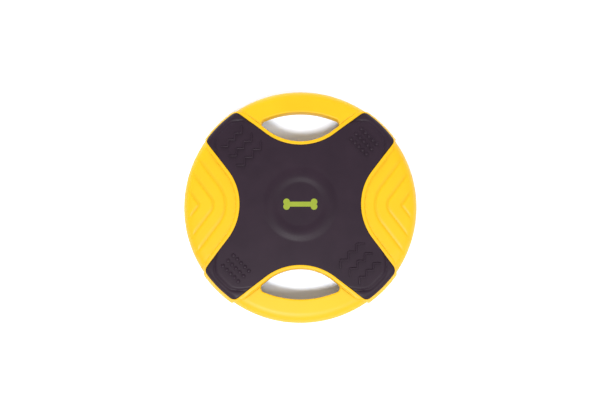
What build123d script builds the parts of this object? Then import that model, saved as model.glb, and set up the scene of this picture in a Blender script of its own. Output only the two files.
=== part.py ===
from build123d import *
import math
import os

# A flying disc for dogs, 230 mm across: a yellow moulded disc with two finger slots, a soft dark
# cross moulded over it, and an ink print in the middle. The disc lies on its rim, open side down.
# Frame: origin on the floor under the disc's centre, +Z up, the finger slots on +Y and -Y,
# the closed side lobes on +X and -X, the arms of the cross on the diagonals.

# ---- driving dimensions, mm ----
disc_radius = 115.0        # outer wall of the rim
dome_height = 25.0         # yellow dome at its centre
rim_round = 11.0           # roll-off from the dome to the outer wall
rim_round_height = 10.8    # height of that roll-off's centre
foot_round = 3.5           # outer edge of the foot
foot_inner_round = 0.5
rim_wall = 5.0
web = 3.8                  # thickness of the domed plate
cavity_round = 6.0

skin = 2.0                 # thickness of the cross, most of it in a recess
pad_rise = 1.0             # the cross's pads over the yellow dome
tip_radius = 113.6         # ends of the arms
tip_corner = 6.0
notch_centre = 114.0       # centre of each notch's round, from the disc's centre
notch_round = 55.0
notch_angle = 37.4         # straight sides of a notch, from the tangent of its round

pad_radius = 97.0          # the flat pads end here and step down
ledge_radius = 103.5
ledge_drop = 1.6
tip_roll_radius = 106.0    # the arm ends roll off from here
tip_roll = 9.0

bead_width = 3.6           # raised yellow frame round the cross
bead_rise = 0.4            # its top over the cross
collar_height = 9.0        # the collars at the arm ends are widest from here
collar_foot = 5.0          # down to here

slot_radius = 92.0         # outer side of the finger slots
slot_corner = 4.5
lip = 3.0                  # wall round each slot, under the plate
lip_height = 13.0          # lower edge of that wall

ring_foot_in, ring_top_in, ring_top_out, ring_foot_out = 21.5, 26.0, 30.0, 36.0
ring_rise = 1.8
ring_edge_round = 2.5
relief_rise = 0.7          # zigzags and pimples over the pads
ridge_width = 1.3
zigzags = ((71.0, 7.8), (83.0, 7.3), (95.0, 6.7))   # each one's distance out, and its tread
treads = 3                 # treads, and as many risers, in a zigzag
pimple_diameter = 3.0
pimple_pitch = 5.25
pimple_row_gap = 7.2
pimple_radius = 88.0       # middle of the three rows
pimple_rows, pimples_in_row = 3, 5

chevron_points = (65.2, 81.7, 98.2)    # where each groove's two legs would cross
chevron_rounds = (30.0, 12.0, 3.0)     # the round between them
chevron_end = 109.0
groove_width = 2.0
groove_depth = 0.8

plug_diameter = 7.0        # the cross is anchored through the plate by these
plug_head_diameter = 11.0
plug_head = 1.6
plug_radii = (46.0, 80.0)

print_height = 0.12        # ink layer
bone_length = 33.0
bone_height = 11.0
bone_lobe_radius = 3.2
bone_shaft_width = 4.8
collar_inset = 0.2         # the collar's turned wall stands just inside its outline

above = 40.0               # a height clear over everything
bite = 0.5                 # how far an added detail reaches into what it stands on

# ---- the dome: one large arc that meets the rim's round without a corner ----
rim_round_x = disc_radius - rim_round
rise_left = dome_height - rim_round_height
dome_radius = (rim_round_x ** 2 + rise_left ** 2 - rim_round ** 2) / (2 * (rise_left - rim_round))


def dome(radius):
    """Height of the yellow dome at a distance from the axis."""
    return dome_height - dome_radius + math.sqrt(dome_radius ** 2 - radius ** 2)


def pad(radius):
    """Height of the cross's pads at a distance from the axis."""
    return dome(radius) + pad_rise


def on_round(centre, radius, degrees):
    """The point of a round at an angle above the horizontal."""
    angle = math.radians(degrees)
    return (centre[0] + radius * math.cos(angle), centre[1] + radius * math.sin(angle))


def yellow_line(lift):
    """The yellow moulding's top line in the half plane of the axis: dome, then the rim's round."""
    meet = rim_round_x * dome_radius / (dome_radius - rim_round)
    centre = (rim_round_x, rim_round_height + lift)
    crown = ThreePointArc((0, dome(0) + lift), (meet / 2, dome(meet / 2) + lift), (meet, dome(meet) + lift))
    roll = ThreePointArc(crown @ 1, on_round(centre, rim_round, 45), on_round(centre, rim_round, 0))
    return crown, roll


def cross_line(lift):
    """The cross's top line: pad, step down, ledge, and the round at the arm's end."""
    ledge = pad(pad_radius) - ledge_drop + lift
    centre = (tip_roll_radius, ledge - tip_roll)
    crown = ThreePointArc((0, pad(0) + lift), (pad_radius / 2, pad(pad_radius / 2) + lift),
                          (pad_radius, pad(pad_radius) + lift))
    slope = Line(crown @ 1, (ledge_radius, ledge))
    flat = Line(slope @ 1, (tip_roll_radius, ledge))
    roll = ThreePointArc(flat @ 1, on_round(centre, tip_roll, 55), on_round(centre, tip_roll, 20))
    return crown, roll


def turned_layer(line, low, high):
    """The solid of revolution between a top line lifted by low and the same line lifted by high."""
    with BuildPart() as layer:
        with BuildSketch(Plane.XZ):
            with BuildLine():
                lower_start, lower_end = line(low)
                upper_start, upper_end = line(high)
                Line(lower_start @ 0, upper_start @ 0)
                Line(lower_end @ 1, upper_end @ 1)
            make_face()
        revolve(axis=Axis.Z)
    return layer.part


def raised(outline, layer):
    """The part of a layer that stands over an outline drawn on the floor."""
    with BuildPart() as detail:
        add(outline)
        extrude(amount=above)
        add(layer, mode=Mode.INTERSECT)
    return detail.part


def notch_outline(grow):
    """One notch of the cross, on +Y: a round with two straight sides, its edge moved in by grow."""
    side = math.radians(notch_angle)
    radius = notch_round - grow
    start = (radius * math.sin(side), notch_centre - radius * math.cos(side))
    end = (start[0] + disc_radius * math.cos(side), start[1] + disc_radius * math.sin(side))
    with BuildSketch() as notch:
        with BuildLine():
            ThreePointArc((-start[0], start[1]), (0, notch_centre - radius), start)
            Polyline(start, end, (-end[0], end[1]), (-start[0], start[1]))
        make_face()
    return notch.sketch


def cross_outline(grow):
    """The cross seen from above, its whole edge moved outwards by grow."""
    with BuildSketch() as outline:
        Circle(tip_radius + grow)
        with PolarLocations(0, 4):
            add(notch_outline(grow), mode=Mode.SUBTRACT)
        tips = outline.vertices().filter_by(lambda v: math.hypot(v.X, v.Y) > tip_radius - 1)
        fillet(tips, tip_corner + grow)
    return outline.sketch


def slot_outline(grow):
    """The finger slot on +Y, between the bead and a round about the axis, its edge moved out by grow."""
    with BuildSketch() as outline:
        add(notch_outline(bead_width - grow))
        Circle(slot_radius + grow, mode=Mode.INTERSECT)
        ends = outline.vertices().filter_by(lambda v: math.hypot(v.X, v.Y) > slot_radius - 1)
        fillet(ends, slot_corner + grow)
    return outline.sketch


def both_slots(grow):
    """The outlines of both finger slots."""
    with BuildSketch() as outlines:
        with PolarLocations(0, 2):
            add(slot_outline(grow))
    return outlines.sketch


def chevrons():
    """The grooves on both side lobes: V shapes that point at the centre, each with a rounded point."""
    lean = math.radians(notch_angle)
    with BuildSketch() as grooves:
        for point, radius in zip(chevron_points, chevron_rounds):
            leg = (point + disc_radius * math.sin(lean), disc_radius * math.cos(lean))
            with BuildLine(mode=Mode.PRIVATE) as vee:
                FilletPolyline((leg[0], -leg[1]), (point, 0), leg, radius=radius)
            trace(vee.line, groove_width)
        mirror(about=Plane.YZ)
        Circle(chevron_end, mode=Mode.INTERSECT)
    return grooves.sketch


def zigzag_arm():
    """The three zigzags on the arm between -X and +Y: square steps whose run crosses the arm."""
    with BuildSketch() as ridges:
        for distance, tread in zigzags:
            centre = distance / math.sqrt(2)
            first = (-centre + treads * tread / 2, centre + treads * tread / 2)
            for i in range(treads):
                with Locations((first[0] - i * tread, first[1] - (i + 0.5) * tread)):
                    Rectangle(ridge_width, tread + ridge_width)
                with Locations((first[0] - (i + 0.5) * tread, first[1] - (i + 1) * tread)):
                    Rectangle(tread + ridge_width, ridge_width)
    return ridges.sketch


def pimple_arm():
    """The rows of pimples on the arm between +X and +Y."""
    with BuildSketch() as pimples:
        with PolarLocations(pimple_radius, 1, start_angle=45):
            with GridLocations(pimple_row_gap, pimple_pitch, pimple_rows, pimples_in_row):
                Circle(pimple_diameter / 2)
    return pimples.sketch


def arm_points(diameter):
    """Rounds of one diameter on the middle of each arm, where the anchor plugs are."""
    with BuildSketch() as rounds:
        for distance in plug_radii:
            with PolarLocations(distance, 4, start_angle=45):
                Circle(diameter / 2)
    return rounds.sketch


def bone():
    """A plain bone: a shaft with two round lobes at each end."""
    lobe_x, lobe_y = bone_length / 2 - bone_lobe_radius, bone_height / 2 - bone_lobe_radius
    with BuildSketch() as outline:
        Rectangle(2 * lobe_x, bone_shaft_width)
        with GridLocations(2 * lobe_x, 2 * lobe_y, 2, 2):
            Circle(bone_lobe_radius)
    return outline.sketch


# ---- the space under the plate, and the walls that hang round the slots ----
with BuildPart() as hollow:
    with BuildSketch(Plane.XZ):
        with BuildLine():
            wall_x = disc_radius - rim_wall
            corner_x = wall_x - cavity_round
            corner_centre = (corner_x, dome(corner_x) - web - cavity_round)
            foot_centre = (wall_x + foot_inner_round, foot_inner_round)
            ceiling = ThreePointArc((0, dome(0) - web), (corner_x / 2, dome(corner_x / 2) - web),
                                    (corner_x, dome(corner_x) - web))
            corner = ThreePointArc(ceiling @ 1, on_round(corner_centre, cavity_round, 45),
                                   on_round(corner_centre, cavity_round, 0))
            wall = Line(corner @ 1, (wall_x, foot_inner_round))
            edge = ThreePointArc(wall @ 1, on_round(foot_centre, foot_inner_round, 225),
                                 on_round(foot_centre, foot_inner_round, 270))
            Polyline(edge @ 1, (0, 0), ceiling @ 0)
        make_face()
    revolve(axis=Axis.Z)
    with BuildSketch(Plane.XY.offset(lip_height)):
        add(both_slots(lip))
    extrude(amount=above, mode=Mode.SUBTRACT)

# ---- the raised frame round the cross, which becomes a collar at each arm's end ----
with BuildPart() as bead:
    with BuildSketch(Plane.XZ):
        with BuildLine():
            collar_x = tip_radius + bead_width - collar_inset
            inner_x = disc_radius - rim_wall / 2
            under_start, under_end = cross_line(-skin)
            crest_start, crest_end = cross_line(bead_rise)
            Line(under_start @ 0, crest_start @ 0)
            Polyline(crest_end @ 1, (collar_x, collar_height), (collar_x, collar_foot),
                     (inner_x, collar_foot - (collar_x - inner_x)), under_end @ 1)
        make_face()
    revolve(axis=Axis.Z)
    with BuildSketch():
        add(cross_outline(bead_width))
        add(cross_outline(0), mode=Mode.SUBTRACT)
    extrude(amount=above, mode=Mode.INTERSECT)

# ---- disc_body: the yellow moulding ----
with BuildPart() as disc_body:
    with BuildSketch(Plane.XZ):
        with BuildLine():
            foot_x = disc_radius - foot_round
            crown, roll = yellow_line(0)
            wall = Line(roll @ 1, (disc_radius, foot_round))
            edge = ThreePointArc(wall @ 1, on_round((foot_x, foot_round), foot_round, -45), (foot_x, 0))
            Polyline(edge @ 1, (0, 0), crown @ 0)
        make_face()
    revolve(axis=Axis.Z)
    add(hollow.part, mode=Mode.SUBTRACT)
    add(raised(cross_outline(0), turned_layer(cross_line, -skin, above)), mode=Mode.SUBTRACT)
    add(bead.part)
    add(raised(chevrons(), turned_layer(yellow_line, -groove_depth, above)), mode=Mode.SUBTRACT)
    with BuildSketch():
        add(both_slots(0))
        add(arm_points(plug_diameter))
    extrude(amount=above, mode=Mode.SUBTRACT)
disc_body.part.label = "disc_body"

# ---- grip_cross: the dark rubber cross, with its ring, zigzags, pimples and anchor plugs ----
with BuildPart() as grip_cross:
    add(raised(cross_outline(0), turned_layer(cross_line, -skin, 0)))
    with BuildSketch(Plane.XZ):
        with BuildLine():
            Polyline((ring_foot_in, pad(ring_foot_in) - bite), (ring_foot_in, pad(ring_foot_in)),
                     (ring_top_in, pad(ring_top_in) + ring_rise),
                     (ring_top_out, pad(ring_top_out) + ring_rise),
                     (ring_foot_out, pad(ring_foot_out)), (ring_foot_out, pad(ring_foot_out) - bite),
                     close=True)
        ring_section = make_face()
        fillet(ring_section.vertices().sort_by(Axis.Y)[-2:], ring_edge_round)
    revolve(axis=Axis.Z)
    with BuildSketch(mode=Mode.PRIVATE) as relief:
        with PolarLocations(0, 2):
            add(zigzag_arm())
            add(pimple_arm())
    add(raised(relief.sketch, turned_layer(cross_line, -bite, relief_rise)))
    add(raised(arm_points(plug_diameter), turned_layer(yellow_line, -web - plug_head, 0)))
    add(raised(arm_points(plug_head_diameter), turned_layer(yellow_line, -web - plug_head, -web)))
grip_cross.part.label = "grip_cross"

# ---- bone_print: the ink mark in the middle of the ring ----
with BuildPart() as bone_print:
    add(raised(bone(), turned_layer(cross_line, 0, print_height)))
bone_print.part.label = "bone_print"

os.makedirs("parts", exist_ok=True)
export_step(disc_body.part, "parts/disc_body.step")
export_step(grip_cross.part, "parts/grip_cross.step")
export_step(bone_print.part, "parts/bone_print.step")
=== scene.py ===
"""A flying disc for dogs, as it looks: a yellow moulding, a soft dark cross over it, an ink mark."""
import math

import bmesh
import bpy
import numpy as np
from bpy.props import FloatProperty, FloatVectorProperty, PointerProperty
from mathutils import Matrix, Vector


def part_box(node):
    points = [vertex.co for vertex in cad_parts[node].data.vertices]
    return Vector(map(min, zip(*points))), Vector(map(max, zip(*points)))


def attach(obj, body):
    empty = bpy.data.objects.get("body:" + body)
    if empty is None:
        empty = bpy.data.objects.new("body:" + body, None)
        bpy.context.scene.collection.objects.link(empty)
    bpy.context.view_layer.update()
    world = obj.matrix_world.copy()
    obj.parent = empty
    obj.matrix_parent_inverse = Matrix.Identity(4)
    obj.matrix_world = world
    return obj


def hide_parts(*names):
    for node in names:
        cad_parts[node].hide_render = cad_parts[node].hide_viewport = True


bl_info = {
    "name": "Dog Flying Disc",
    "version": (1, 0, 0),
    "blender": (4, 5, 0),
    "location": "View3D > Sidebar > Disc",
    "description": "Builds a two-part moulded flying disc, its print and a white table",
    "category": "Add Mesh",
}

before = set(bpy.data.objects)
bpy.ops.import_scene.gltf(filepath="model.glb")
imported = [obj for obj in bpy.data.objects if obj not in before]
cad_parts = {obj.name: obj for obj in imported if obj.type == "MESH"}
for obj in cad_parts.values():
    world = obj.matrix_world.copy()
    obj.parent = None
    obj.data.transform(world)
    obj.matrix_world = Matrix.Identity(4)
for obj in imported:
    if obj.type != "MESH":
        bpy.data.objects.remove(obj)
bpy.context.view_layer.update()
disc_low, disc_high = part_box("disc_body")
MM = 0.001                      # every curve below is worked out in millimetres


# ---- small tools ----

def to_linear(hex_colour):
    """An sRGB hex colour as linear red, green, blue and alpha: the usual two-part sRGB curve."""
    parts = [int(hex_colour[i:i + 2], 16) / 255 for i in (1, 3, 5)]
    return tuple(c / 12.92 if c <= 0.04045 else ((c + 0.055) / 1.055) ** 2.4 for c in parts) + (1.0,)


def length(label, text, millimetres):
    """A length on the panel, given in millimetres."""
    return FloatProperty(name=label, description=text, default=millimetres * MM, min=0.0,
                         unit="LENGTH", precision=5)


def colour(label, text, hex_colour):
    """A colour on the panel, given as sRGB hex."""
    return FloatVectorProperty(name=label, description=text, default=to_linear(hex_colour),
                               size=4, min=0.0, max=1.0, subtype="COLOR")


def smooth_step(x):
    """0 below 0, 1 above 1, and the cubic 3x^2 - 2x^3 between."""
    x = np.clip(x, 0, 1)
    return x * x * (3 - 2 * x)


def soft_min(a, b, width):
    """The smaller of two numbers, with a parabola in place of the corner where they are within width."""
    h = np.clip(0.5 + 0.5 * (b - a) / width, 0, 1)
    return b + (a - b) * h - width * h * (1 - h)


def crossing(function, low, high):
    """Where a function falls from positive at low to negative at high, halving the gap forty times."""
    low, high = np.array(low, float), np.array(high, float)
    for _ in range(40):
        middle = (low + high) / 2
        inside = function(middle) > 0
        low, high = np.where(inside, middle, low), np.where(inside, high, middle)
    return (low + high) / 2


def shell(name, grids, marks=None, sharp=40.0):
    """One closed mesh from grids of points in millimetres. Each grid (rows, columns, 3) becomes quads,
    edges that share their place are merged, and all faces are turned outwards. marks holds one number
    per point and grid, kept as a point attribute (the moulding's carries its painted groove shade)."""
    points, faces, start = [], [], 0
    for grid in grids:
        rows, columns = grid.shape[:2]
        index = start + np.arange(rows * columns).reshape(rows, columns)
        faces.append(np.stack([index[:-1, :-1], index[:-1, 1:], index[1:, 1:], index[1:, :-1]], -1)
                     .reshape(-1, 4))
        points.append(grid.reshape(-1, 3))
        start += rows * columns
    mesh = bpy.data.meshes.new(name)
    mesh.from_pydata((np.concatenate(points) * MM).tolist(), [], np.concatenate(faces).tolist())
    if marks is not None:
        layer = mesh.attributes.new("mark", "FLOAT", "POINT")
        layer.data.foreach_set("value", np.concatenate([m.ravel() for m in marks]).astype(np.float32))
    work = bmesh.new()
    work.from_mesh(mesh)
    bmesh.ops.remove_doubles(work, verts=work.verts, dist=2e-6)
    bmesh.ops.recalc_face_normals(work, faces=work.faces)
    work.to_mesh(mesh)
    work.free()
    mesh.shade_smooth()
    mesh.set_sharp_from_angle(angle=math.radians(sharp))
    piece = bpy.data.objects.new(name, mesh)
    bpy.context.scene.collection.objects.link(piece)
    return piece


def plan(radius, angle):
    """The x and y of points at a radius and an angle."""
    return radius * np.cos(angle), radius * np.sin(angle)


def sorted_plan(radius, angle):
    """The smaller and the larger of x and y."""
    x, y = np.abs(plan(radius, angle))
    return np.minimum(x, y), np.maximum(x, y)


def turned(radius, angle, height):
    """Grid points from radii, angles and heights that broadcast together."""
    x, y = plan(radius, angle)
    return np.stack(np.broadcast_arrays(x, y, height), -1)


# ---- sizes and colours ----

class DiscSizes(bpy.types.PropertyGroup):
    """Sizes of the disc and its details."""
    disc_radius: length("Disc radius", "Outer wall of the rim", (disc_high.x - disc_low.x) * 500)
    dome_height: length("Dome height", "Yellow dome at its centre", 25.0)
    rim_round: length("Rim round", "Roll-off from the dome to the outer wall", 11.0)
    rim_round_height: length("Rim round height", "Height of the roll-off's centre", 10.8)
    foot_round: length("Foot round", "Outer edge of the foot", 3.5)
    foot_inner_round: length("Foot inner round", "Inner edge of the foot", 0.5)
    rim_wall: length("Rim wall", "Thickness of the rim's wall", 5.0)
    web: length("Web", "Thickness of the domed plate", 3.8)
    cavity_round: length("Cavity round", "Corner under the plate", 6.0)
    pad_rise: length("Pad rise", "Cross over the yellow dome", 1.0)
    skin: length("Skin", "Thickness of the cross", 2.0)
    tip_radius: length("Tip radius", "Ends of the cross's arms", 113.6)
    tip_corner: length("Tip corner", "Round at the arm's corners", 6.6)
    notch_centre: length("Notch centre", "Centre of each notch's round", 114.0)
    notch_round: length("Notch round", "Round of each notch", 55.0)
    notch_angle: FloatProperty(name="Notch angle", description="Lean of a notch's straight sides",
                               default=math.radians(37.4), subtype="ANGLE")
    pad_radius: length("Pad radius", "Where the pads step down", 97.0)
    ledge_radius: length("Ledge radius", "Foot of that step", 103.5)
    ledge_drop: length("Ledge drop", "Depth of that step", 1.4)
    tip_roll_radius: length("Tip roll start", "Where the arm ends roll off", 106.0)
    tip_roll: length("Tip roll", "Round of the arm ends", 9.0)
    bead_width: length("Bead width", "Raised yellow frame round the cross", 3.6)
    bead_rise: length("Bead rise", "Bead over the cross", 0.4)
    collar_reach: length("Collar reach", "How far the collars stand out of the rim", 2.0)
    collar_height: length("Collar height", "Collars are widest below this", 9.0)
    collar_foot: length("Collar foot", "Collars are widest down to this", 5.0)
    slot_radius: length("Slot radius", "Outer side of the finger slots", 92.0)
    slot_corner: length("Slot corner", "Corners of the finger slots", 4.5)
    slot_edge: length("Slot edge", "Roll at the slots' upper edge", 1.5)
    lip: length("Lip", "Wall round each slot, under the plate", 3.0)
    lip_height: length("Lip height", "Lower edge of that wall", 13.0)
    ring_rise: length("Ring rise", "Round ridge at the centre", 1.4)
    step_start: length("Step start", "Head of the step at an arm's end, in from the tip", 11.2)
    step_foot: length("Step foot", "Foot of that step, in from the tip", 6.8)
    step_groove: length("Step groove", "Depth of the groove at that foot", 0.75)
    step_corner: length("Step corner", "Round of the tip's line where the step turns", 14.5)
    relief_rise: length("Relief rise", "Zigzags and pimples over the pads", 1.3)
    ridge_width: length("Ridge width", "Width of the zigzags", 1.8)
    pimple_diameter: length("Pimple diameter", "Width of a pimple", 3.9)
    groove_width: length("Groove width", "Chevron grooves on the side lobes", 4.6)
    groove_depth: length("Groove depth", "Depth of those grooves", 0.8)
    chevron_end: length("Groove end", "Grooves run out here", 109.0)


class DiscColours(bpy.types.PropertyGroup):
    """Colours of the disc."""
    yellow: colour("Yellow moulding", "Thermoplastic rubber of the disc", "#BE9410")
    dark: colour("Dark rubber", "Soft-touch rubber of the cross", "#221921")
    lime: colour("Lime ink", "Pad print in the middle", "#727F16")
    table: colour("Table", "White table under the disc", "#E6EEFC")


class Form:
    """The disc's curves in millimetres, from the sizes on the panel."""

    def __init__(self):
        sizes = bpy.context.scene.disc_sizes
        for name in DiscSizes.__annotations__:
            value = getattr(sizes, name)
            setattr(self, name, value if name == "notch_angle" else value / MM)
        self.round_x = self.disc_radius - self.rim_round
        left = self.dome_height - self.rim_round_height
        self.dome_radius = ((self.round_x ** 2 + left ** 2 - self.rim_round ** 2)
                            / (2 * (left - self.rim_round)))
        self.meet_angle = math.asin(self.round_x / (self.dome_radius - self.rim_round))
        self.meet = self.dome_radius * math.sin(self.meet_angle)
        self.wall_start = self.meet + self.rim_round * (math.pi / 2 - self.meet_angle)
        self.wall_end = self.wall_start + self.rim_round_height - self.foot_round
        self.side = np.array([math.cos(self.notch_angle), math.sin(self.notch_angle)])
        self.away = np.array([math.sin(self.notch_angle), -math.cos(self.notch_angle)])
        self.bead_line = self.notch_round - self.bead_width

    # -- lines in the half plane of the axis --

    def dome(self, radius):
        """The yellow dome: a large arc, dome_height at the axis."""
        return self.dome_height - self.dome_radius + np.sqrt(self.dome_radius ** 2 - radius ** 2)

    def pad(self, radius):
        """The cross's pads, pad_rise over the dome."""
        return self.dome(radius) + self.pad_rise

    def yellow_line(self, along):
        """The yellow top line by the distance run along it: dome, rim round, straight wall.
        Gives radius, height and the outward normal's two parts."""
        turn = self.meet_angle + (along - self.meet) / self.rim_round
        turn = np.clip(turn, self.meet_angle, math.pi / 2)
        on_dome = along < self.meet
        normal_out = np.where(on_dome, along / self.dome_radius, np.sin(turn))
        normal_up = np.sqrt(1 - normal_out ** 2)
        radius = np.where(on_dome, along, self.round_x + self.rim_round * np.sin(turn))
        height = np.where(on_dome, self.dome(np.minimum(along, self.meet)),
                          self.rim_round_height + self.rim_round * np.cos(turn)
                          - np.maximum(along - self.wall_start, 0))
        return radius, height, normal_out, normal_up

    def radius_to_along(self, radius):
        """Distance run along the yellow line to a radius on it."""
        turn = np.arcsin(np.clip((radius - self.round_x) / self.rim_round, -1, 1))
        return np.where(radius < self.meet, radius,
                        self.meet + self.rim_round * (turn - self.meet_angle))

    def cross_line(self, radius):
        """The cross's top line: pad, slope down, flat ledge, then the round at the arm's end."""
        ledge = self.pad(self.pad_radius) - self.ledge_drop
        share = np.clip((radius - self.pad_radius) / (self.ledge_radius - self.pad_radius), 0, 1)
        height = np.where(radius < self.pad_radius, self.pad(np.minimum(radius, self.pad_radius)),
                          self.pad(self.pad_radius) - share * self.ledge_drop)
        past = np.clip(radius - self.tip_roll_radius, 0, self.tip_roll)
        return np.where(radius < self.tip_roll_radius, height,
                        ledge - self.tip_roll + np.sqrt(self.tip_roll ** 2 - past ** 2))

    def crest_table(self):
        """The bead's crest as its distance off the yellow line, by the distance run along that line:
        the cross's line raised by bead_rise, then the collar's slope, wall and foot."""
        radius = np.linspace(0, self.tip_roll_radius + self.tip_roll * 0.94, 400)
        height = self.cross_line(radius) + self.bead_rise
        outer = self.disc_radius + self.collar_reach
        radius = np.append(radius, [outer, outer, self.disc_radius])
        height = np.append(height, [self.collar_height, self.collar_foot, self.foot_round])
        turn = np.arctan2(radius - self.round_x, height - self.rim_round_height)
        reach = np.hypot(radius - self.round_x, height - self.rim_round_height)
        along = self.meet + self.rim_round * (turn - self.meet_angle)
        off = reach - self.rim_round
        on_dome, on_wall = radius < self.meet, height < self.rim_round_height
        along = np.where(on_dome, radius, np.where(on_wall, self.wall_start + self.rim_round_height
                                                   - height, along))
        off = np.where(on_dome, height - self.dome(np.minimum(radius, self.meet)),
                       np.where(on_wall, radius - self.disc_radius, off))
        return along, off

    # -- distances seen from above --

    def from_notch(self, across, out):
        """Distance from a notch's own wedge, whose point is notch_centre out: straight off its side,
        or from its point where that is nearer."""
        q_x, q_y = across, out - self.notch_centre
        on_side = q_x * self.side[0] + q_y * self.side[1] > 0
        return np.where(on_side, q_x * self.away[0] + q_y * self.away[1], np.hypot(q_x, q_y))

    def corner_centre(self, from_notch, radius):
        """The point at a distance from the notch's wedge and at a radius: a line meets a circle."""
        start = np.array([0, self.notch_centre]) + from_notch * self.away
        half = start @ self.side
        return start + (-half + math.sqrt(half ** 2 - start @ start + radius ** 2)) * self.side

    @staticmethod
    def rounded(distance, across, out, centre, first, corner):
        """distance, but corner less the distance from centre in the sector between the directions
        first and straight out from the axis, which rounds the outline's corner."""
        second = centre / np.hypot(*centre)
        d_x, d_y = across - centre[0], out - centre[1]
        area = first[0] * second[1] - first[1] * second[0]
        a = (d_x * second[1] - d_y * second[0]) / area
        b = (first[0] * d_y - first[1] * d_x) / area
        return np.where((a > 0) & (b > 0), corner - np.hypot(d_x, d_y), distance)

    def in_cross(self, radius, angle):
        """How far inside the cross's outline: off the notches' rounds, off the tip's circle."""
        across, out = sorted_plan(radius, angle)
        side = self.from_notch(across, out) - self.notch_round
        inside = np.minimum(side, self.tip_radius - radius)
        centre = self.corner_centre(self.notch_round + self.tip_corner,
                                    self.tip_radius - self.tip_corner)
        return self.rounded(inside, across, out, centre, -self.away, self.tip_corner)

    def in_arm(self, radius, angle):
        """How far inside the cross's sides, leaving its tips out."""
        return self.from_notch(*sorted_plan(radius, angle)) - self.notch_round

    def in_slot(self, radius, angle):
        """How far inside a finger slot: off the bead, off the slot's outer circle."""
        across, out = np.abs(plan(radius, angle))
        inside = np.minimum(self.bead_line - self.from_notch(across, out), self.slot_radius - radius)
        return self.rounded(inside, across, out, self.slot_end(), self.away, self.slot_corner)

    def slot_end(self):
        """Centre of the round at a slot's corner."""
        return self.corner_centre(self.bead_line - self.slot_corner,
                                  self.slot_radius - self.slot_corner)

    def slot_lines(self, folded, has_slot, grow, low, high):
        """Radii of a slot's inner and outer contour, moved out by grow and sought between low and
        high, and of its middle line, where columns without a slot have all three."""
        centre = self.slot_end()
        turn = math.atan2(centre[1], centre[0])
        middle = np.hypot(*centre) * np.cos(np.minimum(folded - turn, 0))
        inner = crossing(lambda r: -self.in_slot(r, folded) - grow, np.full_like(folded, low), middle)
        outer = crossing(lambda r: self.in_slot(r, folded) + grow, middle, np.full_like(folded, high))
        return np.where(has_slot, inner, middle), np.where(has_slot, outer, middle), middle

    def off_chevron(self, radius, angle, point, bend):
        """Signed distance from a chevron, positive on its outer side: off its straight leg,
        or off the round that joins the legs."""
        x, y = np.abs(plan(radius, angle))
        q_x = x - point - bend / self.side[0]
        straight = q_x * self.side[1] + y * self.side[0] > 0
        return np.where(straight, q_x * self.side[0] - y * self.side[1] + bend,
                        bend - np.hypot(q_x, y))


CHEVRONS = ((65.2, 30.0), (81.7, 12.0), (98.2, 3.0))    # where the legs would cross, the round between


def all_round(quarter):
    """Angles for the whole turn from those of one quarter, mirrored, the first repeated at the end."""
    half = np.concatenate([quarter, math.pi - quarter[-2::-1]])
    return np.concatenate([half, half[1:] + math.pi])


# ---- the yellow moulding ----

def between(start, end, count, power=1.0):
    """count steps from start to end for every column, as fractions raised to a power, end left out."""
    share = (np.arange(count) / count)[:, None] ** power
    return start + (end - start) * share


def moulding_columns(form):
    """Angles of the moulding's columns: close together where an outline's edge runs outwards, and
    closing in on the slots' ends. Gives the angles, the same folded into a quarter, which of them are
    open slot, and the angle where a slot ends."""
    centre = form.slot_end()
    end = math.atan2(centre[1], centre[0]) - math.asin(form.slot_corner / np.hypot(*centre))
    degrees = np.concatenate([np.arange(0, 6, 0.4), np.arange(6, 28, 0.8), np.arange(28, 40, 0.34),
                              np.arange(40, 50, 1.0), np.arange(50, 61.6, 0.34)])
    last = degrees[-1] + 0.34
    closing = last + (math.degrees(end) - last) * (1 - (1 - np.arange(12) / 12) ** 2)
    inside = np.degrees(end + (math.pi / 2 - end) * (1 - np.cos(np.linspace(0, math.pi / 2, 37))))
    quarter = np.radians(np.concatenate([degrees, closing, inside]))
    angle = all_round(quarter)
    folded = np.arcsin(np.clip(np.abs(np.sin(angle)), 0, 1))
    return angle, folded, folded > end - 1e-9, end


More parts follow.
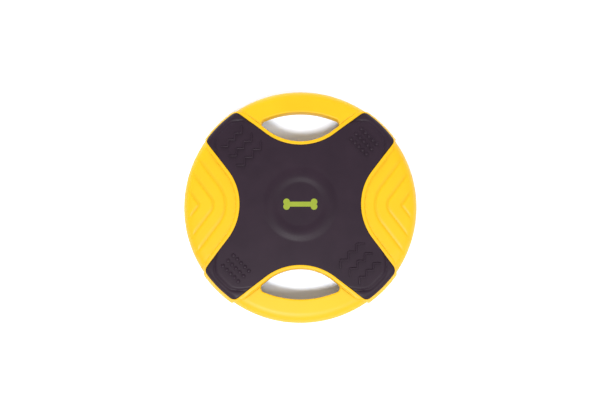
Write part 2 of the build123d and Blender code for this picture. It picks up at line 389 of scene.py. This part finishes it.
def moulding_stations(form, folded, slot, end):
    """Distances run along the yellow line for every column, from the bead to the foot. On a side lobe
    they gather at the three grooves, at a slot they jump its width, and between they blend.
    Gives the stations, the cross's edge, and which rows are the slot's two edges."""
    before, open_rows, after = 5, 24, 56
    rows = before + open_rows + after
    rim = form.wall_end

    bead = crossing(lambda r: form.from_notch(*sorted_plan(r, folded)) - form.bead_line,
                    np.full_like(folded, 40.0), np.full_like(folded, 140.0))
    edge = crossing(lambda r: form.in_cross(r, folded), np.full_like(folded, 40.0),
                    np.full_like(folded, form.tip_radius + 1))
    bead = np.minimum(bead, 117.8)
    along_bead = np.minimum(form.radius_to_along(bead), 119.0)

    # side lobes: 6 | 10 | 8 | 10 | 8 | 10 | the rest, the tens being the grooves
    marks = []
    for (point, bend), cap in zip(CHEVRONS, (0.70, 0.77, 0.84)):
        at = crossing(lambda r: -form.off_chevron(r, folded, point, bend),
                      np.full_like(folded, 40.0), np.full_like(folded, 150.0))
        at = np.where(at < form.disc_radius - 0.1, form.radius_to_along(at), 2 * rim)
        step = 0.01
        slope = (form.off_chevron(at + step, folded, point, bend)
                 - form.off_chevron(at - step, folded, point, bend)) / (2 * step)
        half = 0.6 * form.groove_width / np.maximum(slope, 0.45)
        middle = np.minimum((at - along_bead) / (rim - along_bead), cap)
        marks.append((middle, np.minimum(half / (rim - along_bead), 0.034)))
    nothing = np.zeros_like(folded)
    stops = [nothing]
    for middle, half in marks:
        stops += [middle - half, middle + half]
    stops.append(nothing + 1)
    counts = (6, 10, 8, 10, 8, 10, rows - 52)
    lobe = np.concatenate([between(a, b, n) for a, b, n in zip(stops, stops[1:], counts)]
                          + [stops[-1][None]])

    # slots: the bead's outer edge to the slot, across it, and on to the foot
    inner, outer, mid = form.slot_lines(folded, slot, 0, 50.0, 94.0)
    opening = 0.14 * smooth_step((end - folded) / math.radians(8)) ** 0.7 * (rim - along_bead)
    inner, outer = np.where(slot, inner, mid - opening), np.where(slot, outer, mid + opening)
    inner = np.maximum((inner - along_bead) / (rim - along_bead), 0.05 * (~slot))
    outer = np.maximum((outer - along_bead) / (rim - along_bead), inner + 1e-9)
    handle = np.minimum(outer + 2.2 / (rim - along_bead), 0.9)
    slotted = np.concatenate([between(nothing, inner, before), between(inner, outer, open_rows),
                              between(outer, handle, 10, 1.6), between(handle, nothing + 1, after - 10),
                              stops[-1][None]])

    share = smooth_step((folded - math.radians(38)) / math.radians(16))
    station = lobe + (slotted - lobe) * share
    return along_bead + (rim - along_bead) * station, edge, before, before + open_rows


def moulding_top(form, along, angle, folded):
    """The yellow top surface. The yellow line is moved along its normal: out by the crest's distance
    under the bead and the collars, with a quarter-ellipse shoulder on the bead's outer side, and in by
    a cosine trough along each chevron. The slots' edges roll down by a quarter circle."""
    radius, height, out, up = form.yellow_line(along)
    crest_at, crest_off = form.crest_table()
    crest = np.interp(along, crest_at, crest_off)

    # the shoulder: 0 at the bead's outer edge, 1 from a little over half its width inwards,
    # set further in where the collar turns round the arm's corner
    pull_in = 4.0 * smooth_step((along - form.tip_roll_radius) / 12.0)
    inside = form.in_arm(radius, folded) + form.bead_width - pull_in
    rise = np.clip(inside / (0.55 * form.bead_width), 0, 1)
    shoulder = np.sqrt(1 - (1 - rise) ** 2)
    shift = crest * shoulder

    # the bead's inner edge, rounded where it meets the cross
    beyond = -form.in_cross(radius + out * shift, folded)
    near = np.clip(1 - np.maximum(beyond, 0) / 0.6, 0, 1)
    shift = shift - 0.35 * (1 - np.sqrt(1 - near ** 2)) * (inside > 0)

    # chevron grooves on the side lobes, and a shallow valley at the bead's outer foot
    trough = np.zeros_like(shift)
    for point, bend in CHEVRONS:
        off = np.abs(form.off_chevron(radius, folded, point, bend)) / (0.5 * form.groove_width)
        trough = np.maximum(trough, 0.5 + 0.5 * np.cos(math.pi * np.clip(off, 0, 1)))
    trough *= smooth_step((form.chevron_end + 1.5 - radius) / 4.5) * (inside < 0)
    foot = np.exp(-((inside + 0.5) / 0.6) ** 2) * smooth_step((form.chevron_end + 2 - radius) / 8)
    trough = np.maximum(trough, 0.6 * foot * (inside < 0))
    shift = shift - form.groove_depth * trough

    x, y = plan(radius + out * shift, angle)
    z = height + up * shift
    outside = np.clip(-form.in_slot(radius, folded), 0, form.slot_edge)
    z = z - form.slot_edge + np.sqrt(form.slot_edge ** 2 - (form.slot_edge - outside) ** 2)
    # trough goes back with the points as the mask of the shade painted into these grooves
    return np.stack([x, y, z], -1), trough


def build_moulding(form):
    """The whole yellow moulding as one closed skin: a line run from the top's centre over the rim and
    back under the plate for every column, with the slots left out and walled."""
    angle, folded, slot, end = moulding_columns(form)
    along, edge, row_in, row_out = moulding_stations(form, folded, slot, end)

    # under the cross, then the bead from the cross's edge outwards
    crest_at, crest_off = form.crest_table()
    crest_radius, _, crest_out, _ = form.yellow_line(crest_at)
    rising = slice(None, -3)
    along_edge = np.interp(edge, (crest_radius + crest_out * crest_off)[rising], crest_at[rising])
    hidden = between(np.zeros_like(along_edge), along_edge, 6)
    hidden = np.concatenate([hidden, along_edge[None]])
    radius, height, out, up = form.yellow_line(hidden)
    sunk = np.interp(hidden, crest_at, crest_off) - form.bead_rise - form.skin
    floor = turned(radius + out * sunk, angle, height + up * sunk)
    share = np.array([0, 0.03, 0.08, 0.16, 0.3, 0.45, 0.6, 0.72, 0.83, 0.92, 0.97])[:, None]
    beading = along_edge + (along[0] - along_edge) * share
    run = np.concatenate([beading, along])
    top, trough = moulding_top(form, run, angle, folded)
    row_in, row_out = row_in + len(share), row_out + len(share)

    # foot, inner wall and ceiling
    quarter = np.linspace(0, math.pi / 2, 6)[1:, None]
    foot = turned(form.disc_radius - form.foot_round * (1 - np.cos(quarter)), angle,
                  form.foot_round * (1 - np.sin(quarter)))
    inner_wall = form.disc_radius - form.rim_wall
    turn = np.linspace(0, math.pi / 2, 4)[:, None]
    heel = turned(inner_wall + form.foot_inner_round * (1 - np.sin(turn)), angle,
                  form.foot_inner_round * (1 - np.cos(turn)))
    corner_x = inner_wall - form.cavity_round
    corner_z = form.dome(corner_x) - form.web - form.cavity_round
    turn = np.linspace(0, math.pi / 2, 7)[:, None]
    cavity = turned(corner_x + form.cavity_round * np.cos(turn), angle,
                    corner_z + form.cavity_round * np.sin(turn))

    def ceiling(radii):
        return turned(radii, angle, form.dome(radii) - form.web)

    # the wall that hangs round each slot: its outer contour is lip outside the slot's edge
    centre = form.slot_end()
    turn_at = math.atan2(centre[1], centre[0])
    lipped = folded > turn_at - math.asin((form.slot_corner + form.lip) / np.hypot(*centre))
    near, far, mid = form.slot_lines(folded, lipped, form.lip, 45.0, 98.0)
    inner, outer, _ = form.slot_lines(folded, slot, 0, 50.0, 94.0)
    level = np.where(lipped, form.lip_height, form.dome(mid) - form.web)
    under = [ceiling(between(np.full_like(far, corner_x), far, 5)[1:]), ceiling(far[None]),
             turned(far, angle, level)[None], turned((far + outer) / 2, angle, level)[None],
             turned(outer, angle, level)[None],
             turned(inner, angle, level)[None], turned((near + inner) / 2, angle, level)[None],
             turned(near, angle, level)[None], ceiling(near[None]),
             ceiling(between(near, np.zeros_like(near), 5)[1:]), ceiling(np.zeros_like(near)[None])]

    lines = np.concatenate([floor, top, foot, heel, cavity] + under)
    # the grooves' mask rides on the mesh; the material paints shade into the grooves with it
    groove_shade_mask = np.zeros(lines.shape[:2])
    groove_shade_mask[len(floor):len(floor) + len(top)] = trough
    row_in, row_out = row_in + len(floor), row_out + len(floor)
    under_in = len(lines) - sum(len(u) for u in under[5:])

    # cut the full turn into runs of columns that are open slot and runs that aren't
    change = np.flatnonzero(np.diff(slot.astype(int)))
    stops = np.concatenate([[0], change, [len(slot) - 1]])
    steps = np.linspace(0, 1, 5)[:, None, None]
    grids, marks = [], []
    for first, last in zip(stops, stops[1:]):
        is_slot = slot[(first + last) // 2]
        span = slice(first + 1, last + 1) if is_slot else slice(first, min(last + 2, len(slot)))
        rows = (slice(0, row_in + 1), slice(row_out, under_in), slice(under_in, None))
        for part in rows if is_slot else (slice(None),):
            grids.append(lines[part, span])
            marks.append(groove_shade_mask[part, span])
        for upper, lower in ((row_out, under_in - 1), (row_in, under_in)) if is_slot else ():
            wall = lines[upper, span] + (lines[lower, span] - lines[upper, span]) * steps
            grids.append(wall)
            marks.append(np.zeros(wall.shape[:2]))
    return shell("disc_moulding", grids, marks)


# ---- the dark cross ----

# beside an arm the step and the roll lie nearer to the edge than at its tip, by the first number in mm,
# and inwards of the radius that comes next they move off the arm by the last, in mm per mm
STEP_SIDE = (0.8, 104.0, 0.8)
ROLL_SIDE = (5.0, 99.0, 1.2)
GROOVE_SPREAD, GROOVE_FROM, GROOVE_FULL = 1.5, 95.0, 104.0    # bell's spread; radii where it fades in
RING_INSIDE, RING_OUTSIDE = (21.5, 0.26), (36.2, 0.235)       # each foot's radius, and its slope
SKIN_DEPTH = 1.7                                              # underside below the cross's line
ZIGZAG_END = np.array([0.65, 0.60, 0.48, 0.28, 0.0])          # steps by which a ridge's end closes
PIMPLE_PLACES = (88.0, 7.2, 5.25)                             # middle row, rows apart, pimples apart
PLUG_RADII = (46.0, 80.0)


def beside_arm(side, radius, rule):
    """Distance from an arm's side as the step and the roll count it, by STEP_SIDE or ROLL_SIDE."""
    nearer, start, rate = rule
    return side + nearer + rate * np.maximum(start - radius, 0)


def skin_height(form, radius, angle):
    """Top of the dark cross. The pad follows the dome and carries the round ridge at the centre. Near
    an arm's end it steps down to a ledge, with a shallow bell-shaped groove at the step's foot: they run
    along the tip, turn the corners in a round and die out along the sides. The ledge then rolls off
    towards the tip."""
    side = form.in_arm(radius, angle)
    tip = form.tip_radius - radius
    corner = form.step_corner
    from_end = corner - np.hypot(np.maximum(corner - tip, 0),
                                 np.maximum(corner - beside_arm(side, radius, STEP_SIDE), 0))
    height = form.pad(radius)
    ledge = form.pad(form.pad_radius) - form.ledge_drop
    height = height + (ledge - height) * smooth_step((form.step_start - from_end)
                                                     / (form.step_start - form.step_foot))
    bell = np.exp(-((from_end - form.step_foot) / GROOVE_SPREAD) ** 2)
    faded_in = smooth_step((radius - GROOVE_FROM) / (GROOVE_FULL - GROOVE_FROM))
    height = height - form.step_groove * (bell * faded_in)
    roll_start = form.tip_radius - form.tip_roll_radius
    past = np.clip(roll_start - soft_min(tip, beside_arm(side, radius, ROLL_SIDE), 5), 0,
                   0.97 * form.tip_roll)
    height = height - form.tip_roll + np.sqrt(form.tip_roll ** 2 - past ** 2)
    climb = soft_min((radius - RING_INSIDE[0]) * RING_INSIDE[1],
                     (RING_OUTSIDE[0] - radius) * RING_OUTSIDE[1], 0.6)
    ridge = -soft_min(-soft_min(climb, form.ring_rise + 0 * radius, 0.45), 0 * radius, 0.25)
    return height + ridge


def build_skin(form):
    """The cross as one closed skin: lines run from the centre to the cross's edge, over a small edge
    round, down its side and back underneath."""
    degrees = np.concatenate([np.arange(0, 28, 0.8), np.arange(28, 40, 0.34), np.arange(40, 45.1, 1.0)])
    octant = np.radians(np.append(degrees[degrees < 45], 45.0))
    quarter = np.concatenate([octant, math.pi / 2 - octant[-2::-1]])
    angle = all_round(quarter)
    gap, edge_round = 0.12, 0.6
    edge = crossing(lambda r: form.in_cross(r, angle) - gap, np.full_like(angle, 41.0),
                    np.full_like(angle, form.tip_radius + 1))
    level = np.concatenate([np.array([0, 8, 16, 20]), np.linspace(21, 37, 30)])[:, None] + 0 * angle
    share = 1 - (1 - np.arange(1, 81) / 80)[:, None] ** 1.4
    radius = np.concatenate([level, 37 + (edge - 37) * share])
    inside = np.clip(form.in_cross(radius, angle) - gap, 0, edge_round)
    drop = edge_round - np.sqrt(edge_round ** 2 - (edge_round - inside) ** 2)
    top = turned(radius, angle, skin_height(form, radius, angle) - drop)
    low = np.minimum(form.cross_line(edge) - SKIN_DEPTH, top[-1][..., 2] - 0.1)
    side = np.stack([top[-1], turned(edge, angle, low)])
    inward = np.linspace(1, 0, 4)[:, None] * edge
    lower = (low - form.cross_line(edge) + SKIN_DEPTH) * (inward / edge) ** 8
    under = turned(inward, angle, form.cross_line(inward) - SKIN_DEPTH + lower)
    return shell("grip_cross_skin", [top, side, under])


def ridge_path(corners, bend):
    """A polyline with its corners rounded to a radius: points and their sideways directions. Each end
    gets five points and each corner an arc of five."""
    points, ways = [], []
    run = np.diff(corners, axis=0)
    run = run / np.linalg.norm(run, axis=1)[:, None]
    for i, corner in enumerate(corners):
        if 0 < i < len(corners) - 1:
            a, b = run[i - 1], run[i]
            middle = corner - bend * a + bend * b
            turn = np.linspace(0, math.pi / 2, 5)[:, None]
            arc = middle - bend * b * np.cos(turn) + bend * a * np.sin(turn)
            points.append(arc)
            ways.append(a * np.cos(turn) + b * np.sin(turn))
        else:
            step = run[0] if i == 0 else run[-1]
            back = ZIGZAG_END[:, None]
            ends = corner - step * back if i == 0 else corner + step * back[::-1]
            points.append(ends)
            ways.append(np.repeat(step[None], 5, 0))
    points, ways = np.concatenate(points), np.concatenate(ways)
    return points, np.stack([-ways[:, 1], ways[:, 0]], -1)


ZIGZAGS = ((71.0, 7.8), (83.0, 7.3), (95.0, 6.7))       # each one's distance out, and its tread, mm
RIDGE_LENGTHS = 3                                       # treads, and as many risers, in a zigzag


def build_zigzags(form):
    """The zigzag ridges on two arms: a rounded section, a superellipse standing on a sunk foot,
    carried along each stepped line, its ends closing as a half round."""
    turn = np.linspace(0, math.pi, 13)
    half = 0.5 * form.ridge_width
    across = half * np.sign(np.cos(turn)) * np.abs(np.cos(turn)) ** 0.9
    rise = form.relief_rise * np.sin(turn) ** 0.75
    across = np.concatenate([[half + 0.12], across, [-half - 0.12, half + 0.12]])
    rise = np.concatenate([[-0.25], rise, [-0.25, -0.25]])
    grids = []
    for distance, tread in ZIGZAGS:
        centre = distance / math.sqrt(2)
        step = np.arange(2 * RIDGE_LENGTHS + 1)
        corners = np.stack([-centre + 0.5 * RIDGE_LENGTHS * tread - tread * (step // 2),
                            centre + 0.5 * RIDGE_LENGTHS * tread - tread * ((step + 1) // 2)], -1)
        points, sideways = ridge_path(corners, 0.95)
        close = np.ones(len(points))
        close[:5] = close[:-6:-1] = np.sqrt(1 - (ZIGZAG_END / ZIGZAG_END[0]) ** 2)
        place = points[:, None] + sideways[:, None] * (across * close[:, None])[..., None]
        radius = np.hypot(place[..., 0], place[..., 1])
        angle = np.arctan2(place[..., 1], place[..., 0])
        height = skin_height(form, radius, angle) - 0.25 + (rise + 0.25) * close[:, None]
        grid = np.concatenate([place, height[..., None]], -1)
        grids += [grid, grid * np.array([-1, -1, 1])]
    return shell("zigzag_ridges", grids, sharp=70)


def build_pimples(form):
    """The rows of pimples on the other two arms: each a low superellipse of revolution."""
    middle, rows_apart, pimples_apart = PIMPLE_PLACES
    row, place = np.meshgrid((np.arange(3) - 1) * rows_apart, (np.arange(5) - 2) * pimples_apart,
                             indexing="ij")
    along, across = middle + row.ravel(), place.ravel()
    x, y = (along - across) / math.sqrt(2), (along + across) / math.sqrt(2)
    turn = np.linspace(0, math.pi / 2, 7)
    wide = np.concatenate([0.5 * form.pimple_diameter * np.sin(turn), [0.54 * form.pimple_diameter, 0]])
    rise = np.concatenate([1.2 * form.relief_rise * np.cos(turn) ** 0.85, [-0.2, -0.2]])
    spin = np.linspace(0, 2 * math.pi, 21)
    p_x = x[:, None, None] + wide[:, None] * np.cos(spin)
    p_y = y[:, None, None] + wide[:, None] * np.sin(spin)
    height = skin_height(form, np.hypot(p_x, p_y), np.arctan2(p_y, p_x)) + rise[:, None]
    arm = np.stack([p_x, p_y, height], -1)
    return shell("pimples", list(arm) + list(arm * np.array([-1, -1, 1])), sharp=70)


def build_plugs(form):
    """The heads of the anchor plugs under the plate: discs with a rounded edge and a small dimple."""
    profile_r = np.array([0, 0.5, 0.9, 1.3, 4.7, 5.1, 5.38, 5.5, 5.5, 5.5, 0])
    profile_z = np.array([-1.25, -1.28, -1.42, -1.6, -1.6, -1.52, -1.3, -1.1, -0.5, 0.3, 0.3])
    spin = np.linspace(0, 2 * math.pi, 49)
    grids = []
    for distance in PLUG_RADII:
        for quarter in range(4):
            way = math.pi / 4 + quarter * math.pi / 2
            x = distance * math.cos(way) + profile_r[:, None] * np.cos(spin)
            y = distance * math.sin(way) + profile_r[:, None] * np.sin(spin)
            ceiling = form.dome(np.hypot(x, y)) - form.web
            grids.append(np.stack([x, y, ceiling + profile_z[:, None]], -1))
    return shell("anchor_plug_heads", grids)


def build_bone(form):
    """The printed bone: in the shaft the half height is even, towards each end it is that of two round
    lobes, and past their centres the length is that of the lobes. One layer of ink, closed."""
    lobe, lobe_x, lobe_y, shaft = 3.2, 13.3, 2.3, 2.4
    v = np.sin(np.linspace(-math.pi / 2, math.pi / 2, 41))
    x = np.concatenate([np.linspace(-lobe_x, -lobe_x + lobe, 16), np.linspace(-9.5, 9.5, 16),
                        np.linspace(lobe_x - lobe, lobe_x, 16)])
    half = np.where(np.abs(x) > lobe_x - lobe,
                    lobe_y + np.sqrt(np.maximum(lobe ** 2 - (np.abs(x) - lobe_x) ** 2, 0)), shaft)
    half = np.maximum(half, shaft)
    middle = np.stack([x[:, None] + 0 * v, half[:, None] * v], -1)
    y = (lobe_y + lobe) * v
    reach = np.sqrt(np.maximum(lobe ** 2 - (np.abs(y) - lobe_y) ** 2, 0))
    share = np.sin(np.linspace(0, math.pi / 2, 10))[1:, None]
    cap = np.stack([lobe_x + share * reach, y + 0 * share], -1)
    flat = np.concatenate([(cap * np.array([-1, 1]))[::-1], middle, cap])
    level = form.pad(np.hypot(flat[..., 0], flat[..., 1]))
    top = np.concatenate([flat, level[..., None] + 0.1], -1)
    low = np.concatenate([flat, level[..., None] - 0.1], -1)
    walls = [np.stack([top[k], low[k]]) for k in (0, -1)]
    walls += [np.stack([top[:, k], low[:, k]]) for k in (0, -1)]
    return shell("bone_mark", [top, low] + walls)


# ---- materials ----

def node(tree, kind, at, links=None, **settings):
    """Adds a shader node: settings that are its own are set on it, the others on the input of that name
    or number (i6 is input 6), and links joins inputs to other nodes' outputs."""
    made = tree.nodes.new(kind)
    made.location = at

    def socket(key):
        return made.inputs[int(key[1:])] if key[0] == "i" and key[1:].isdigit() else \
            made.inputs[key.replace("_", " ")]
    for key, value in settings.items():
        if hasattr(made, key):
            setattr(made, key, value)
    for key, value in settings.items():
        if not hasattr(made, key):
            socket(key).default_value = value
    for key, output in (links or {}).items():
        tree.links.new(output, socket(key))
    return made


def toned(colour, red, green, blue):
    """A colour with its red, green and blue scaled."""
    return (colour[0] * red, colour[1] * green, colour[2] * blue, 1.0)


def mottled(tree, place, scale, detail, low, colours):
    """Two colours that wander into each other in soft clouds."""
    cloud = node(tree, "ShaderNodeTexNoise", (-800, 200), {"Vector": place}, Scale=scale, Detail=detail)
    tone = node(tree, "ShaderNodeMapRange", (-550, 200), {"i0": cloud.outputs[0]},
                i1=low, i2=0.7, i3=0.0, i4=1.0)
    shade = node(tree, "ShaderNodeMix", (-300, 200), {"i0": tone.outputs[0]}, data_type="RGBA",
                 i6=colours[0], i7=colours[1])
    return shade.outputs[2]


def grained(tree, place, scale, dullest, strength):
    """A fine grain that both raises the surface and varies its gloss: the surface's two inputs."""
    grain = node(tree, "ShaderNodeTexNoise", (-800, -200), {"Vector": place}, Scale=scale, Detail=3.0)
    gloss = node(tree, "ShaderNodeMapRange", (-300, -50), {"i0": grain.outputs[0]},
                 i1=0.3, i2=0.7, i3=0.42, i4=dullest)
    bump = node(tree, "ShaderNodeBump", (-300, -300), {"Height": grain.outputs[0]},
                Strength=strength, Distance=0.00012)
    return {"Roughness": gloss.outputs[0], "Normal": bump.outputs[0]}


def moulded_yellow_tpr(tree, place, colour):
    """Thermoplastic rubber, injection moulded: an even deep yellow with a dry satin grain, and shade
    painted a little deeper in the grooves."""
    # such a grain is about 0.1 mm; drawn at 0.5 mm so that it shows
    grain = grained(tree, place, 2000.0, 0.56, 0.25)
    shade = mottled(tree, place, 28.0, 2.0, 0.3, (toned(colour, 0.97, 0.95, 0.85), tuple(colour)))
    # painted shade: by the mesh's groove mask the grooves and the bead's foot turn darker and more
    # orange
    groove_shade_mask = node(tree, "ShaderNodeAttribute", (-800, 450), attribute_name="mark")
    tint = node(tree, "ShaderNodeMix", (-50, 200), {"i0": groove_shade_mask.outputs["Fac"], "i6": shade},
                data_type="RGBA", i7=toned(colour, 0.95, 0.90, 0.7))
    return node(tree, "ShaderNodeBsdfPrincipled", (400, 0), {"Base_Color": tint.outputs[2], **grain},
                IOR=1.49, Specular_IOR_Level=0.28)


def soft_touch_rubber(tree, place, colour):
    """Charcoal thermoplastic rubber with a soft-touch skin, overmoulded: nearly black with a plum cast,
    a broad soft sheen, a fine grain and a faint dusty bloom."""
    # such a grain is about 0.1 mm; drawn at 0.6 mm so that it shows
    grain = grained(tree, place, 1600.0, 0.54, 0.3)
    shade = mottled(tree, place, 45.0, 4.0, 0.35, (tuple(colour), toned(colour, 1.18, 1.18, 1.16)))
    return node(tree, "ShaderNodeBsdfPrincipled", (400, 0), {"Base_Color": shade, **grain},
                IOR=1.5, Specular_IOR_Level=0.12)


def pad_print_ink(tree, place, colour):
    """Matt lime ink, pad printed on rubber: slightly uneven, with pin holes where the grain shows."""
    # such a speckle is about 0.1 mm; drawn at 0.5 mm so that it shows
    speckle = node(tree, "ShaderNodeTexNoise", (-800, -200), {"Vector": place}, Scale=2000.0, Detail=2.0)
    shade = mottled(tree, place, 180.0, 3.0, 0.3, (toned(colour, 0.92, 0.92, 0.9), tuple(colour)))
    thin = node(tree, "ShaderNodeMapRange", (-550, -200), {"i0": speckle.outputs[0]},
                i1=0.62, i2=0.75, i3=0.0, i4=0.35)
    tint = node(tree, "ShaderNodeMix", (-50, 200), {"i0": thin.outputs[0], "i6": shade},
                data_type="RGBA", i7=toned(colour, 0.5, 0.5, 0.6))
    return node(tree, "ShaderNodeBsdfPrincipled", (400, 0), {"Base_Color": tint.outputs[2]},
                IOR=1.5, Roughness=0.55)


def table_paper(tree, place, colour):
    """Matt white paper, faintly luminous so that it stays white around what lies on it."""
    fibre = node(tree, "ShaderNodeTexNoise", (-800, 0), {"Vector": place}, Scale=300.0, Detail=3.0)
    bump = node(tree, "ShaderNodeBump", (-300, -300), {"Height": fibre.outputs[0]},
                Strength=0.05, Distance=0.0002)
    return node(tree, "ShaderNodeBsdfPrincipled", (400, 0), {"Normal": bump.outputs[0]},
                Base_Color=tuple(colour), Roughness=0.9, Specular_IOR_Level=0.0,
                Emission_Color=(1, 1, 1, 1), Emission_Strength=0.08)


def place_piece(piece, material, replaces=()):
    """Gives a piece its material and ties it to the frame."""
    piece.data.materials.clear()
    piece.data.materials.append(material)
    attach(piece, "root")
    if replaces:
        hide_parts(*replaces)
    return piece


MATERIALS = {"yellow": ("Moulded yellow TPR", moulded_yellow_tpr),
             "dark": ("Soft-touch charcoal TPR", soft_touch_rubber),
             "lime": ("Lime pad-print ink", pad_print_ink),
             "table": ("White lit paper", table_paper)}


def material(key):
    """The material that takes a colour from the panel, made the first time only."""
    name, surfaced = MATERIALS[key]
    known = bpy.data.materials.get(name)
    if known is None:
        known = bpy.data.materials.new(name)
        known.use_nodes = True
        tree = known.node_tree
        tree.nodes.clear()
        place = node(tree, "ShaderNodeTexCoord", (-1100, 0)).outputs["Object"]
        surface = surfaced(tree, place, getattr(bpy.context.scene.disc_colours, key))
        node(tree, "ShaderNodeOutputMaterial", (900, 0), {"Surface": surface.outputs[0]})
    return known


# ---- the room, the lights and the camera, in metres ----

ROOM = 0.34                     # strength of the white room
# name, place, width and power of each light. Key and Fill are large and soft, over the near side. The
# strips stand low all round: they reach the table outside the disc, but not the table in its slots.
LAMPS = (("Key", (-0.26, -0.82, 1.31), 0.45, 34.0),
         ("Fill", (0.75, -0.62, 1.15), 0.45, 9.0),
         ("Back strip", (-0.2, 1.25, 0.38), 0.5, 18.0),
         ("Left strip", (-1.25, 0.35, 0.36), 0.5, 8.0),
         ("Right strip", (1.25, 0.25, 0.36), 0.5, 9.0))
LENS, SENSOR, LENS_SHIFT = 40.0, 36.0, 0.12     # mm, mm, and a share of the picture's width
LEAN = math.radians(3.8)                        # of the camera, off straight down
AIM, AIM_DISTANCE = Vector((-0.0003, 0, 0.010)), 0.6610
BELOW_MIDDLE = 0.0068                           # how far AIM lies below the picture's middle


# ---- operators ----

class DISC_OT_moulding(bpy.types.Operator):
    """Build the yellow moulding: dome, rim, bead, collars, finger slots and chevron grooves"""
    bl_idname = "disc.moulding"
    bl_label = "Yellow Moulding"

    def execute(self, context):
        place_piece(build_moulding(Form()), material("yellow"), ("disc_body",))
        return {"FINISHED"}


class DISC_OT_cross(bpy.types.Operator):
    """Build the dark cross with its round ridge, stepped arm ends and anchor plugs"""
    bl_idname = "disc.cross"
    bl_label = "Dark Cross"

    def execute(self, context):
        rubber = material("dark")
        form = Form()
        place_piece(build_skin(form), rubber, ("grip_cross",))
        place_piece(build_plugs(form), rubber)
        return {"FINISHED"}


class DISC_OT_relief(bpy.types.Operator):
    """Build the zigzag ridges and the pimples on the cross's arms"""
    bl_idname = "disc.relief"
    bl_label = "Zigzags and Pimples"

    def execute(self, context):
        rubber = material("dark")
        form = Form()
        for piece in (build_zigzags(form), build_pimples(form)):
            place_piece(piece, rubber)
        return {"FINISHED"}


class DISC_OT_bone(bpy.types.Operator):
    """Print the bone mark inside the round ridge"""
    bl_idname = "disc.bone"
    bl_label = "Bone Mark"

    def execute(self, context):
        place_piece(build_bone(Form()), material("lime"), ("bone_print",))
        return {"FINISHED"}


class DISC_OT_stage(bpy.types.Operator):
    """Lay the white table, hang the lights and set the camera"""
    bl_idname = "disc.stage"
    bl_label = "Table, Lights and Camera"

    def execute(self, context):
        scene = context.scene
        round_table = turned(np.linspace(0, 1000, 9)[:, None], np.linspace(0, 2 * math.pi, 97), -0.3)
        table = shell("white_table", [round_table])
        table.data.materials.append(material("table"))

        world = bpy.data.worlds.new("White room")
        world.use_nodes = True
        tree = world.node_tree
        tree.nodes.clear()
        seen = node(tree, "ShaderNodeLightPath", (-400, 0)).outputs["Is Camera Ray"]
        strength = node(tree, "ShaderNodeMapRange", (-200, 0), {"i0": seen}, i3=ROOM, i4=1.0)
        sky = node(tree, "ShaderNodeBackground", (0, 0), {"Strength": strength.outputs[0]},
                   Color=(1, 1, 1, 1))
        node(tree, "ShaderNodeOutputWorld", (200, 0), {"Surface": sky.outputs[0]})
        scene.world = world

        for name, spot, wide, power in LAMPS:
            light = bpy.data.lights.new(name, "AREA")
            light.shape = "DISK"
            light.size = wide
            light.energy = power
            lamp = bpy.data.objects.new(name, light)
            lamp.location = spot
            lamp.rotation_euler = (-Vector(spot)).to_track_quat("-Z", "Y").to_euler()
            lamp.visible_glossy = "strip" not in name      # the strips leave no glare on the rubber
            scene.collection.objects.link(lamp)

        view = bpy.data.cameras.new("Camera")
        view.lens, view.sensor_width, view.shift_y = LENS, SENSOR, LENS_SHIFT
        camera = bpy.data.objects.new("Camera", view)
        # the camera looks a little short of the disc, and the shift brings the disc back to the middle
        ahead = Vector((0, math.sin(LEAN), -math.cos(LEAN)))
        upward = Vector((0, math.cos(LEAN), math.sin(LEAN)))
        frame_width = AIM_DISTANCE * SENSOR / LENS
        over = LENS_SHIFT * frame_width - BELOW_MIDDLE
        camera.location = AIM - AIM_DISTANCE * ahead - over * upward
        camera.rotation_euler = (LEAN, 0, 0)
        scene.collection.objects.link(camera)
        scene.camera = camera
        scene.view_settings.view_transform = "Standard"
        return {"FINISHED"}


class DISC_PT_panel(bpy.types.Panel):
    """The disc's pieces, sizes and colours"""
    bl_idname = "DISC_PT_panel"
    bl_label = "Dog Flying Disc"
    bl_space_type = "VIEW_3D"
    bl_region_type = "UI"
    bl_category = "Disc"

    def draw(self, context):
        column = self.layout.column(align=True)
        for operator in OPERATORS:
            column.operator(operator.bl_idname)
        for group in (context.scene.disc_sizes, context.scene.disc_colours):
            box = self.layout.box().column()
            for name in group.__annotations__:
                box.prop(group, name)


OPERATORS = (DISC_OT_moulding, DISC_OT_cross, DISC_OT_relief, DISC_OT_bone, DISC_OT_stage)
CLASSES = (DiscSizes, DiscColours) + OPERATORS + (DISC_PT_panel,)


def register():
    """Registers the panel, the operators and their settings."""
    for item in CLASSES:
        bpy.utils.register_class(item)
    bpy.types.Scene.disc_sizes = PointerProperty(type=DiscSizes)
    bpy.types.Scene.disc_colours = PointerProperty(type=DiscColours)


def unregister():
    """Takes them away again."""
    del bpy.types.Scene.disc_sizes
    del bpy.types.Scene.disc_colours
    for item in reversed(CLASSES):
        bpy.utils.unregister_class(item)


def main():
    """Builds everything in order."""
    register()
    for call in (bpy.ops.disc.moulding, bpy.ops.disc.cross, bpy.ops.disc.relief, bpy.ops.disc.bone,
                 bpy.ops.disc.stage):
        if call() != {"FINISHED"}:
            raise RuntimeError("a piece of the disc wasn't built")


if __name__ == "__main__":
    main()
